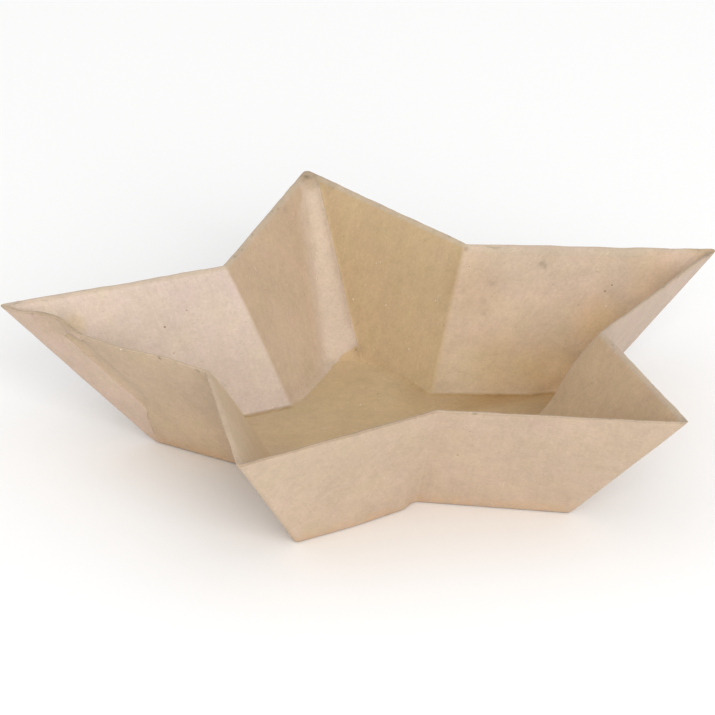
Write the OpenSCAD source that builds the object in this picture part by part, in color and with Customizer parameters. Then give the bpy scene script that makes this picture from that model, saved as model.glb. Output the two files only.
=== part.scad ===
// Star-shaped tray of kraft paper, pasted in layers into one rigid shell.
// Five points, sloping walls and a flat star-shaped floor, with every edge softly rounded.
// Millimetres, +Z up. The origin is the centre of the star on the table.
// The back point lies along +Y. Corners are counted anticlockwise from it: tip, notch, tip, notch.

/* [Star] */
// From the centre to each tip, at the rim
rim_tip_r = 132.5; // [118:1:145]
// From the centre to each notch between two points, at the rim
rim_notch_r = 74; // [66:1:82]
// From the centre to each tip of the flat base
base_tip_r = 81; // [70:0.5:90]
// From the centre to each notch of the flat base
base_notch_r = 44; // [38:0.5:50]
// Height of the rim above the table
rim_h = 48; // [36:1:64]
// How much of its hand-made unevenness the star keeps
unevenness = 1; // [0:0.1:1.5]

/* [Paper] */
// Thickness of the walls, square to their face
wall_t = 2.2; // [1.6:0.1:3.2]
// Thickness at the rim, where fewer layers overlap
rim_t = 1.4; // [1.2:0.1:2.2]
// Thickness of the floor
floor_t = 2.4; // [1.6:0.1:4]

/* [Edges] */
// Rounding of the tips, seen from above
tip_round = 1.2; // [0.8:0.1:2.5]
// Rounding of the valleys at the notches, outside
valley_round = 0.8; // [0.4:0.1:2]
// Rounding of the ridges at the notches, inside
ridge_round = 2.5; // [1.5:0.1:5]
// Rounding of the foot, under the walls
foot_round = 1; // [0.5:0.1:1.5]
// Rounding of the rim's outer edge
rim_outer_round = 0.4; // [0.3:0.1:0.8]
// Depth of the rounding on the rim's inner edge
rim_inner_round = 1.1; // [0.6:0.1:2]

/* [Inner corners] */
// Radius of the paper bridged into each point, at the rim
web_rim_r = 1.2; // [0.6:0.1:2.4]
// Radius of the paper bridged into each point, at the floor
web_floor_r = 4.5; // [3:0.1:7]
// Radius of the wider strip bridged into the back point, at the rim
back_web_rim_r = 2.6; // [1.2:0.1:4]
// Radius of the wider strip bridged into the back point, at the floor
back_web_floor_r = 7.5; // [4:0.1:9]
// Radius between the walls and the floor
floor_round = 1.5; // [1:0.1:3]

/* [Lap over the left point] */
// Thickness of the strip pasted round the left point
lap_t = 0.4; // [0.2:0.05:0.8]
// Width of the strip on the front wall, from the crease of the point
lap_w = 17; // [12:0.5:24]
// Width of the strip where it folds over the rim
lap_rim_w = 33; // [26:0.5:40]
// Width of the strip at the foot
lap_foot_w = 4; // [4:0.5:10]
// Width of the strip on the back wall
lap_back_w = 8; // [6:0.5:12]
// Depth that the strip is turned over inside the rim
lap_turn = 4; // [3:0.5:8]
// How far the fold of the strip stands above the rim
lap_rise = 2.5; // [0:0.1:4]
// How far the rim sags beside the fold
lap_sag = 1.6; // [0:0.1:3]

/* [Hidden] */

paper_brown = [0.79, 0.68, 0.53];

CORNERS = 10;
CORNER_TURN = 360 / CORNERS;
BACK = 90;
LAP_CORNER = 2;

// Steps of each rounded corner and of each rounded edge, and points along each straight wall
ARC_STEPS = 6;
EDGE_STEPS = 3;
STATIONS = 5;
SHARPEST = 0.3;
// Share of the rim's height above which the walls thin towards the rim
THIN_FROM = 0.7;
LAP_STEP = 0.5;

// How far each rim corner strays from the even star: outwards, anticlockwise and upwards
RIM_STRAY = [
    [0.5, -1.5, 2],
    [1, 1, -0.5],
    [2, 0.5, 1],
    [-1, 1, -1.5],
    [-1.5, 1, 2],
    [0, -1, -0.5],
    [-0.5, -1, 2],
    [0, -0.5, -1],
    [2, -2.5, -2.2],
    [-0.5, 0.5, -0.3]
];

// How far each base corner strays: outwards and anticlockwise
BASE_STRAY = [[0, 0], [1, 0], [0, 2], [0, 0], [0.5, 0.5], [0.5, -0.5], [0, 1], [0, 0], [0, 0], [-1, 0.5]];

// Distance from the centre to the straight wall line between a tip and a notch
function wall_line(tip_r, notch_r) =
    tip_r * notch_r * sin(CORNER_TURN)
    / norm([tip_r - notch_r * cos(CORNER_TURN), notch_r * sin(CORNER_TURN)]);

lean = wall_line(rim_tip_r, rim_notch_r) - wall_line(base_tip_r, base_notch_r);
steepness = norm([lean, rim_h]) / rim_h;
wall_run = wall_t * steepness;
rim_run = rim_t * steepness;
level_h = floor_t + floor_round;

function mix(a, b, t) = a + (b - a) * t;
function unit(v) = v / norm(v);
function dir(a) = [cos(a), sin(a)];
function turned(v, a) = [v.x * cos(a) - v.y * sin(a), v.x * sin(a) + v.y * cos(a)];
function is_tip(i) = i % 2 == 0;
function next(i) = (i + 1) % CORNERS;
function before(i) = (i + CORNERS - 1) % CORNERS;

// A corner of the star at a radius, with its stray
function placed(i, r, stray) =
    let (out = dir(BACK + CORNER_TURN * i))
    out * (r + unevenness * stray[0]) + turned(out, 90) * unevenness * stray[1];

// A corner of the outer face at height z, seen from above
function corner(i, z) =
    mix(
        placed(i, is_tip(i) ? base_tip_r : base_notch_r, BASE_STRAY[i]),
        placed(i, is_tip(i) ? rim_tip_r : rim_notch_r, RIM_STRAY[i]),
        z / rim_h
    );

// Height at which a point stands: the floor is level, and the walls take up the rim's unevenness
function raised(z, rim_offset) =
    z + rim_offset * max(0, z - level_h) / (rim_h - level_h);

// Share of the rise and of the sag at each point along the wall with the lap
LAP_RISE = [0.35, 1, 0, 0, 0];
LAP_SAG = [0, 0, 1, 1, 0.6];

// Distances along wall i, from its first corner, of the points between start and end
function along(i, start, end, length, lap_width) =
    i == LAP_CORNER
    ? let (edge = max(lap_width, start + 1))
        [
            mix(start, edge, 0.35),
            mix(start, edge, 0.75),
            edge,
            edge + LAP_STEP,
            mix(edge, end, 0.5)
        ]
    : i == before(LAP_CORNER)
    ? let (edge = min(length - lap_back_w, end - 1))
        [
            mix(start, edge, 0.33),
            mix(start, edge, 0.67),
            edge - LAP_STEP,
            edge,
            mix(edge, end, 0.5)
        ]
    : [for (k = [1:STATIONS]) mix(start, end, k / (STATIONS + 1))];

// Whether the lap covers point k along wall i
function lapped(i, k) =
    i == LAP_CORNER && k <= 2 || i == before(LAP_CORNER) && k >= 3;

// One ring of points round the star. z: height at an even rim. inset: distance in from the outer face.
// radii: roundings of the tips, of the back tip and of the notches.
// push: how far the lap moves it out. lap_width: the lap's width.
function ring(z, inset, radii, push, lap_width) =
    let (
        c = [for (i = [0:CORNERS - 1]) corner(i, z)],
        e = [for (i = [0:CORNERS - 1]) unit(c[next(i)] - c[i])],
        n = [for (v = e) turned(v, 90)],
        r = [for (i = [0:CORNERS - 1]) is_tip(i) ? radii[i == 0 ? 1 : 0] : -radii[2]],
        turn = [for (i = [0:CORNERS - 1]) let (p = e[before(i)], q = e[i]) atan2(cross(p, q), p * q)],
        tangent = [for (i = [0:CORNERS - 1]) (inset + r[i]) * tan(turn[i] / 2)]
    )
    [
        for (i = [0:CORNERS - 1])
            let (
                first = n[before(i)],
                miter = (first + n[i]) / (1 + first * n[i]),
                centre = c[i] + miter * (inset + r[i]),
                reach = r[i] + (i == LAP_CORNER ? push : 0),
                length = norm(c[next(i)] - c[i]),
                steps = along(i, tangent[i], length - tangent[next(i)], length, lap_width)
            )
            each concat(
                [
                    for (k = [0:ARC_STEPS])
                        let (p = centre - turned(first, turn[i] * k / ARC_STEPS) * reach)
                        [p.x, p.y, raised(z, unevenness * RIM_STRAY[i][2])]
                ],
                [
                    for (k = [0:STATIONS - 1])
                        let (
                            p = c[i] + e[i] * steps[k] + n[i] * (inset - (lapped(i, k) ? push : 0)),
                            fold = i == LAP_CORNER ? lap_rise * LAP_RISE[k] - lap_sag * LAP_SAG[k] : 0,
                            rim = mix(RIM_STRAY[i][2], RIM_STRAY[next(i)][2], steps[k] / length)
                        )
                        [p.x, p.y, raised(z, unevenness * rim + fold)]
                ]
            )
    ];

// Width of the lap on the outer face: narrow at the foot, even up the wall, wide over the rim
function lap_width_at(z) =
    lookup(z / rim_h, [[0.04, lap_foot_w], [0.33, lap_w + 3], [0.45, lap_w], [0.85, lap_w], [0.96, lap_rim_w]]);

// Distance across the wall at height z, level: even up to the rim, where it thins
function run_at(z) =
    mix(wall_run, rim_run, pow(max(0, z / rim_h - THIN_FROM) / (1 - THIN_FROM), 2));

// Roundings of the outer face, and of the inner face with the paper bridged into its points
OUTER_RADII = [tip_round, tip_round, valley_round];

function inner_radii(z) =
    [
        mix(web_floor_r, web_rim_r, z / rim_h),
        mix(back_web_floor_r, back_web_rim_r, z / rim_h),
        ridge_round
    ];

function foot_ring(a) =
    let (inset = foot_round * (1 - sin(a)), tip_r = max(tip_round - inset, SHARPEST))
    ring(foot_round * (1 - cos(a)), inset, [tip_r, tip_r, valley_round + inset], lap_t * sin(a), lap_foot_w);

function outer_ring(share) =
    let (z = mix(foot_round, rim_h - rim_outer_round, share))
    ring(z, 0, OUTER_RADII, lap_t, lap_width_at(z));

function rim_ring(drop, inset) =
    let (z = rim_h - drop, share = inset / run_at(z))
    ring(z, inset, mix(OUTER_RADII, inner_radii(z), share), lap_t * (1 - 2 * share), lap_rim_w);

function rim_outer_ring(a) =
    rim_ring(rim_outer_round * (1 - sin(a)), rim_outer_round * (1 - cos(a)));

function rim_inner_ring(a) =
    let (drop = rim_inner_round * (1 - cos(a)))
    rim_ring(drop, mix(rim_outer_round, run_at(rim_h - drop), sin(a)));

function inner_ring(z) =
    ring(z, run_at(z), inner_radii(z), z > rim_h - lap_turn ? -lap_t : 0, lap_rim_w);

function floor_ring(a) =
    let (in = floor_round * (1 - cos(a)))
    ring(
        floor_t + floor_round * (1 - sin(a)),
        wall_run + in,
        [max(web_floor_r - in, SHARPEST), max(back_web_floor_r - in, SHARPEST), ridge_round + in],
        0,
        lap_rim_w
    );

// Up the outside, over the rim and down the inside to the floor
rings = concat(
    [for (k = [0:EDGE_STEPS]) foot_ring(90 * k / EDGE_STEPS)],
    [for (share = [0.14, 0.32, 0.45, 0.65, 0.85, 0.93]) outer_ring(share)],
    [for (k = [0:EDGE_STEPS]) rim_outer_ring(90 * k / EDGE_STEPS)],
    [for (k = [1:EDGE_STEPS]) rim_inner_ring(90 * k / EDGE_STEPS)],
    [for (z = [rim_h - lap_turn + LAP_STEP, rim_h - lap_turn]) inner_ring(z)],
    [for (share = [0.9, 0.75, 0.5, 0.25]) inner_ring(mix(level_h, rim_h - lap_turn, share))],
    [for (k = [0:EDGE_STEPS]) floor_ring(90 * k / EDGE_STEPS)]
);

// Middle point of the rounded notch or tip i in a ring
function middle(i) = i * (ARC_STEPS + 1 + STATIONS) + ARC_STEPS / 2;

// A point inside the flat end of tip i, which the fan of that end starts from
function hub(one, i) = (one[middle(i)] + one[middle(before(i))] + one[middle(next(i))]) / 3;

// Faces of a flat star: a five-sided middle between the notches and a fan in each point
function flat_star(count, first_hub, start) =
    concat(
        [[for (i = [1:2:CORNERS - 1]) start + middle(i)]],
        [
            for (i = [0:2:CORNERS - 1])
                let (from = middle(before(i)), span = 2 * count / CORNERS)
                for (k = [0:span])
                    [
                        first_hub + i / 2,
                        start + (from + k) % count,
                        start + (from + (k == span ? 0 : k + 1)) % count
                    ]
        ]
    );

function flipped(faces) = [for (f = faces) [for (i = [len(f) - 1:-1:0]) f[i]]];

// A closed skin over rings of equal count, with a flat star at each end
module skin(rings) {
    count = len(rings[0]);
    last = len(rings) - 1;
    hubs = [for (one = [rings[0], rings[last]], i = [0:2:CORNERS - 1]) hub(one, i)];
    first_hub = count * len(rings);
    sides = [
        for (j = [0:last - 1], i = [0:count - 1])
            let (
                a = j * count + i,
                b = a + count,
                c = (j + 1) * count + (i + 1) % count,
                d = j * count + (i + 1) % count
            )
            each [[a, b, c], [a, c, d]]
    ];
    under = flat_star(count, first_hub, 0);
    over = flipped(flat_star(count, first_hub + CORNERS / 2, last * count));
    polyhedron(concat([for (one = rings) each one], hubs), concat(sides, under, over), convexity = 8);
}

module tray() {
    color(paper_brown)
        skin(rings);
}

tray();
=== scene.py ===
import math

import bpy
from mathutils import Matrix, Vector


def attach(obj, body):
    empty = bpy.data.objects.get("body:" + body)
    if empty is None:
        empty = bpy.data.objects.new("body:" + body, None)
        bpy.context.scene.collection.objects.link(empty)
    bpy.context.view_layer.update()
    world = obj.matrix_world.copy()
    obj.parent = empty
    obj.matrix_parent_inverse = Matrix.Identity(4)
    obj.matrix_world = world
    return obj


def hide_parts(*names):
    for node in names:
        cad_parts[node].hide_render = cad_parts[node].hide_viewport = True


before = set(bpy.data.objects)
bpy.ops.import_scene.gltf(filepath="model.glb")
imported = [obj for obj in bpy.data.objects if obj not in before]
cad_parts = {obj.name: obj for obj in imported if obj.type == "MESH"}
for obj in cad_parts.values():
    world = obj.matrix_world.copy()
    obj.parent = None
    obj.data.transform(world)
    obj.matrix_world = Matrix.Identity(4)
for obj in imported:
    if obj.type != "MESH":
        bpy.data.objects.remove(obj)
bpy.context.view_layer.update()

# ---------------------------------------------------------------------------
# Table, light and camera
# A pale matt table top, one big soft light low in front and a pale room all round.
# The camera looks down into the star from the front, a little to its left, from far off.

MM = 0.001

TABLE_Z = -0.05 * MM
TABLE_REACH = 6.0
TABLE_TONE = (0.92, 0.92, 0.92, 1)
ROOM_TONE = (1.0, 1.0, 1.0, 1)
ROOM_STRENGTH = 0.875

table = bpy.data.meshes.new("table_top")
table.from_pydata(
    [(x * TABLE_REACH, y * TABLE_REACH, TABLE_Z) for x, y in ((-1, -1), (1, -1), (1, 1), (-1, 1))],
    [],
    [(0, 1, 2, 3)],
)
table_top = bpy.data.objects.new("table_top", table)
bpy.context.scene.collection.objects.link(table_top)

table_paint = bpy.data.materials.new("pale_table")
table_paint.use_nodes = True
paint = table_paint.node_tree.nodes["Principled BSDF"]
paint.inputs["Base Color"].default_value = TABLE_TONE
paint.inputs["Roughness"].default_value = 0.9
paint.inputs["Specular IOR Level"].default_value = 0.1
table.materials.append(table_paint)

room = bpy.data.worlds.new("pale_room")
room.use_nodes = True
backdrop = room.node_tree.nodes["Background"]
backdrop.inputs["Color"].default_value = ROOM_TONE
backdrop.inputs["Strength"].default_value = ROOM_STRENGTH
bpy.context.scene.world = room

LIGHT_AZIMUTH = math.radians(0)
LIGHT_HEIGHT = math.radians(22)
LIGHT_FAR = 3.2
LIGHT_WIDTH = 2.4
LIGHT_WATTS = 77.0
LIGHT_TONE = (1.0, 0.99, 0.975)

lamp = bpy.data.lights.new("soft_front", "AREA")
lamp.shape = "DISK"
lamp.size = LIGHT_WIDTH
lamp.energy = LIGHT_WATTS
lamp.color = LIGHT_TONE
soft_front = bpy.data.objects.new("soft_front", lamp)
light_way = Vector((
    math.sin(LIGHT_AZIMUTH) * math.cos(LIGHT_HEIGHT),
    -math.cos(LIGHT_AZIMUTH) * math.cos(LIGHT_HEIGHT),
    math.sin(LIGHT_HEIGHT),
))
soft_front.location = light_way * LIGHT_FAR
soft_front.rotation_euler = light_way.to_track_quat("Z", "Y").to_euler()
bpy.context.scene.collection.objects.link(soft_front)

CAMERA_AZIMUTH = math.radians(-13.39)
CAMERA_HEIGHT = math.radians(24.32)
CAMERA_ROLL = math.radians(0.20)
CAMERA_FAR = 2.227
LOOK_RIGHT = -10.4 * MM
LOOK_UP = 34.2 * MM
SENSOR_WIDTH = 36
FOCAL_LENGTH = 327.3
NEAREST = 0.1
FARTHEST = 20

behind = Vector((
    math.sin(CAMERA_AZIMUTH) * math.cos(CAMERA_HEIGHT),
    -math.cos(CAMERA_AZIMUTH) * math.cos(CAMERA_HEIGHT),
    math.sin(CAMERA_HEIGHT),
))
right = Vector((math.cos(CAMERA_AZIMUTH), math.sin(CAMERA_AZIMUTH), 0))
up = behind.cross(right)
lens = bpy.data.cameras.new("camera")
lens.sensor_width = SENSOR_WIDTH
lens.lens = FOCAL_LENGTH
lens.clip_start = NEAREST
lens.clip_end = FARTHEST
camera = bpy.data.objects.new("camera", lens)
level_right = right * math.cos(CAMERA_ROLL) + up * math.sin(CAMERA_ROLL)
level_up = up * math.cos(CAMERA_ROLL) - right * math.sin(CAMERA_ROLL)
place = right * LOOK_RIGHT + Vector((0, 0, LOOK_UP)) + behind * CAMERA_FAR
facing = Matrix((level_right, level_up, behind)).transposed().to_4x4()
camera.matrix_world = Matrix.Translation(place) @ facing
bpy.context.scene.collection.objects.link(camera)
bpy.context.scene.camera = camera
bpy.context.scene.view_settings.view_transform = "Standard"

# ---------------------------------------------------------------------------
# The tray
# One rigid shell of card and pasted kraft paper: star floor, ten sloping walls and a soft rim.
# A section of the wall is carried round the star's plan, as the paper was folded round it.

# In mm: how far the tips and notches stand from the centre, height, thickness, and how round the edges are.
# The webs are the rounding inside the tips, at the rim and at the floor, widest in the back point.
RIM_TIP_R = 132.5
RIM_NOTCH_R = 74.0
BASE_TIP_R = 81.0
BASE_NOTCH_R = 44.0
RIM_H = 48.0
WALL_T = 2.2
RIM_T = 1.4
THIN_FROM = 0.7
FLOOR_T = 2.4
TIP_ROUND = 1.2
VALLEY_ROUND = 0.8
RIDGE_ROUND = 2.5
FOOT_ROUND = 1.0
RIM_OUTER_ROUND = 0.4
RIM_INNER_ROUND = 1.1
WEB_RIM_R = 1.2
WEB_FLOOR_R = 4.5
BACK_WEB_RIM_R = 2.6
BACK_WEB_FLOOR_R = 7.5
FLOOR_ROUND = 1.5
SHARPEST = 0.3
CORNERS = 10

# How far each corner strays from the even star: outwards, anticlockwise and upwards
RIM_STRAY = [
    (0.5, -1.5, 2), (1, 1, -0.5), (2, 0.5, 1), (-1, 1, -1.5), (-1.5, 1, 2),
    (0, -1, -0.5), (-0.5, -1, 2), (0, -0.5, -1), (2, -2.5, -2.2), (-0.5, 0.5, -0.3),
]
BASE_STRAY = [
    (0, 0), (1, 0), (0, 2), (0, 0), (0.5, 0.5),
    (0.5, -0.5), (0, 1), (0, 0), (0, 0), (-1, 0.5),
]

# Each tip has a pasted strip outside and one inside. Widths in mm on the walls before and after it, from
# the crease: at the foot, up the wall and at the rim.
OUTER_STRIPS = {2: ((8, 8, 8), (4, 18.5, 33))}
INNER_STRIPS = {
    0: ((6.3, 8.9, 6), (29, 23, 14)),
    2: ((8, 8, 9), (9, 14, 33)),
    4: ((8, 7, 6), (7, 6, 6)),
    6: ((7, 6, 6), (8, 7, 6)),
    8: ((7, 8, 9), (8, 7, 6)),
}
PLAIN_STRIP = (9, 9, 9)
# Their thickness on the wall before and after the tip: outside, turned over the rim, and down the inside
STRIP_T = {
    0: ((0, 0.05, 0.25), (0, 0, 0)),
    2: ((0.4, 0.2, 0.1), (0.4, 0.3, 0.1)),
    4: ((0, 0.1, 0.1), (0, 0.1, 0.1)),
    6: ((0, 0.1, 0.1), (0, 0.1, 0.1)),
    8: ((0.1, 0.1, 0.1), (0.1, 0.1, 0.1)),
}
NO_STRIP = ((0, 0, 0), (0, 0, 0))
# How many times rounder than the rest the inner ridge at each notch is
SOFTER = [1, 0.8, 1, 1.3, 1, 1.4, 1, 2.4, 1, 1]
# Thickness of the hem turned over the rim of each wall, and where it starts from the wall's first corner
HEM_T = [0.04, 0.04, 0, 0, 0, 0, 0, 0, 0.15, 0]
HEM_FROM = [0, 0, 0, 0, 0, 0, 0, 0, 23, 0]
HEM_DEPTH = 2.3
HEM_EDGE = 0.35
# Tone of the paper on each wall, with painted light and painted shade fitted in wall by wall: inside near
# the rim, inside near the floor, outside, and along the rim. Inside near the floor, walls 0, 1 and 9 are
# lighter (painted light against the shade low in the star) and wall 8 is darker (painted shade); along the
# rim, the front walls' tones are painted shade that dims the rim's highlight and the back walls' tones are
# painted light.
INNER_TONE = [
    (0.464, 0.337, 0.225), (0.535, 0.434, 0.362), (0.500, 0.380, 0.262), (0.505, 0.376, 0.243),
    (0.470, 0.352, 0.232), (0.470, 0.352, 0.232), (0.495, 0.352, 0.218), (0.470, 0.352, 0.235),
    (0.543, 0.412, 0.310), (0.475, 0.346, 0.202),
]
INNER_LOW_TONE = [
    (0.534, 0.406, 0.286), (0.575, 0.465, 0.385), (0.510, 0.380, 0.250), (0.530, 0.369, 0.205),
    (0.480, 0.355, 0.225), (0.480, 0.355, 0.225), (0.500, 0.352, 0.210), (0.480, 0.352, 0.220),
    (0.488, 0.362, 0.240), (0.515, 0.376, 0.216),
]
OUTER_TONE = [
    (0.470, 0.360, 0.265), (0.480, 0.365, 0.265), (0.465, 0.347, 0.240), (0.480, 0.362, 0.255),
    (0.460, 0.352, 0.255), (0.457, 0.346, 0.252), (0.470, 0.360, 0.262), (0.490, 0.380, 0.300),
    (0.480, 0.370, 0.270), (0.470, 0.360, 0.265),
]
RIM_LIGHT_AND_SHADE_TONE = [
    (0.440, 0.345, 0.250), (0.480, 0.385, 0.295), (0.440, 0.335, 0.235), (0.475, 0.352, 0.242),
    (0.340, 0.248, 0.165), (0.395, 0.300, 0.215), (0.450, 0.350, 0.258), (0.440, 0.340, 0.240),
    (0.515, 0.407, 0.308), (0.450, 0.362, 0.260),
]
# Tone of the floor beside each wall, and in the middle; beside the right point's back wall (8) it is
# painted shade, dark brown
FLOOR_EDGE_TONE = [
    (0.490, 0.355, 0.195), (0.475, 0.345, 0.205), (0.455, 0.335, 0.208), (0.455, 0.335, 0.208),
    (0.470, 0.345, 0.205), (0.470, 0.345, 0.205), (0.460, 0.330, 0.190), (0.440, 0.310, 0.170),
    (0.366, 0.219, 0.088), (0.510, 0.372, 0.210),
]
FLOOR_TONE = (0.488, 0.346, 0.189)
# Tone of the strip over the back point inside, and of the lap over the left point outside
BACK_STRIP_TONE = (0.535, 0.425, 0.325)
LAP_TONE = (0.500, 0.378, 0.292)
# The fold of the lap on its wall: where along the wall in mm it rises and ends, and where it sags and ends
LAP_WALL = 2.0
LAP_RISES = ((7.0, 21.0), (24.0, 31.0))
LAP_SAGS = ((27.0, 34.0), (46.0, 74.0))
# Where the shell is filled out or dented: place in mm, radius in mm and how far it is moved
DENTS = [
    ((2.0, 76.0, 4.5), 9.0, (0.0, -1.3, 1.5)),
    ((50.0, -16.5, 20.0), 17.0, (1.5, -0.5, 0.0)),
]
# How far each wall bulges at its foot: inside near its tip, and outside near its notch
FOOT_IN = [0, 0, 0, 0, 0, 0, 0, 0, 1.6, 0]
FOOT_OUT = [0, 0, 0, 0, 2.2, 0, 0, 0, 0, 0]
# How far the walls' paper runs out on the floor before and after each tip; less than 0: it ends up the wall
OUT_BEFORE = [-3.4, 0, 0, 0, 0, 0, 0, 0, 0, 0]
OUT_AFTER = [3.4, 0, 0, 0, 0, 0, 0, 0, 0, 0]
# How dark the painted shade in the crease between each wall and the floor is
CREASE_SHADE = [0.15, 0.75, 0.4, 0.4, 0.4, 0.4, 0.3, 0.4, 0.45, 0.1]


def wall_line(tip_r, notch_r):
    """Distance from the centre to the straight line between a tip and a notch."""
    turn = math.radians(360 / CORNERS)
    across, along = notch_r * math.sin(turn), tip_r - notch_r * math.cos(turn)
    return tip_r * notch_r * math.sin(turn) / math.hypot(along, across)


# How far the walls lean out, and their thickness measured level
LEAN = wall_line(RIM_TIP_R, RIM_NOTCH_R) - wall_line(BASE_TIP_R, BASE_NOTCH_R)
RUN = math.hypot(LEAN, RIM_H) / RIM_H
WALL_RUN = WALL_T * RUN
RIM_RUN = RIM_T * RUN
LEVEL_H = FLOOR_T + FLOOR_ROUND


def mix(a, b, share):
    return a + (b - a) * share


def placed(i, radius, stray):
    """A corner of the star in plan, with its stray."""
    turn = math.radians(90 + 360 / CORNERS * i)
    out = Vector((math.cos(turn), math.sin(turn), 0))
    return out * (radius + stray[0]) + Vector((-out.y, out.x, 0)) * stray[1]


def point_cloud(name, points, floats=(), vectors=()):
    """A mesh of loose points, whose values the node tree samples by their number."""
    mesh = bpy.data.meshes.new(name)
    mesh.from_pydata(points, [], [])
    for label, values in floats:
        mesh.attributes.new(label, "FLOAT", "POINT").data.foreach_set("value", values)
    for label, values in vectors:
        flat = [number for value in values for number in value]
        mesh.attributes.new(label, "FLOAT_VECTOR", "POINT").data.foreach_set("vector", flat)
    thing = bpy.data.objects.new(name, mesh)
    bpy.context.scene.collection.objects.link(thing)
    return thing


def plan_points():
    """The ten corners of the star: where they stand, how they are rounded and what strips cover them."""
    tips = [i % 2 == 0 for i in range(CORNERS)]
    base = [placed(i, BASE_TIP_R if tips[i] else BASE_NOTCH_R, BASE_STRAY[i]) for i in range(CORNERS)]
    rim = [placed(i, RIM_TIP_R if tips[i] else RIM_NOTCH_R, RIM_STRAY[i]) for i in range(CORNERS)]
    for corner, stray in zip(rim, RIM_STRAY):
        corner.z = stray[2]
    plain = (PLAIN_STRIP, PLAIN_STRIP)
    outer = [OUTER_STRIPS.get(i, plain) for i in range(CORNERS)]
    inner = [INNER_STRIPS.get(i, plain) for i in range(CORNERS)]
    return point_cloud(
        "plan",
        base,
        floats=[
            ("tip", [float(tip) for tip in tips]), ("softer", SOFTER),
            ("hem", HEM_T), ("hem_from", HEM_FROM), ("crease", CREASE_SHADE),
            ("out_before", OUT_BEFORE), ("out_after", OUT_AFTER),
            ("foot_in", FOOT_IN), ("foot_out", FOOT_OUT),
        ],
        vectors=[
            ("rim", rim),
            ("outer_before", [pair[0] for pair in outer]),
            ("outer_after", [pair[1] for pair in outer]),
            ("inner_before", [pair[0] for pair in inner]),
            ("inner_after", [pair[1] for pair in inner]),
            ("before_t", [STRIP_T.get(i, NO_STRIP)[0] for i in range(CORNERS)]),
            ("after_t", [STRIP_T.get(i, NO_STRIP)[1] for i in range(CORNERS)]),
            ("inner_tone", INNER_TONE),
            ("inner_low_tone", INNER_LOW_TONE),
            ("outer_tone", OUTER_TONE),
            ("rim_tone", RIM_LIGHT_AND_SHADE_TONE),
            ("floor_tone", FLOOR_EDGE_TONE),
            ("inner_strip_tone", [BACK_STRIP_TONE if i == 0 else (0, 0, 0) for i in range(CORNERS)]),
            ("outer_strip_tone", [LAP_TONE if i == 2 else (0, 0, 0) for i in range(CORNERS)]),
        ],
    )


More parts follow.
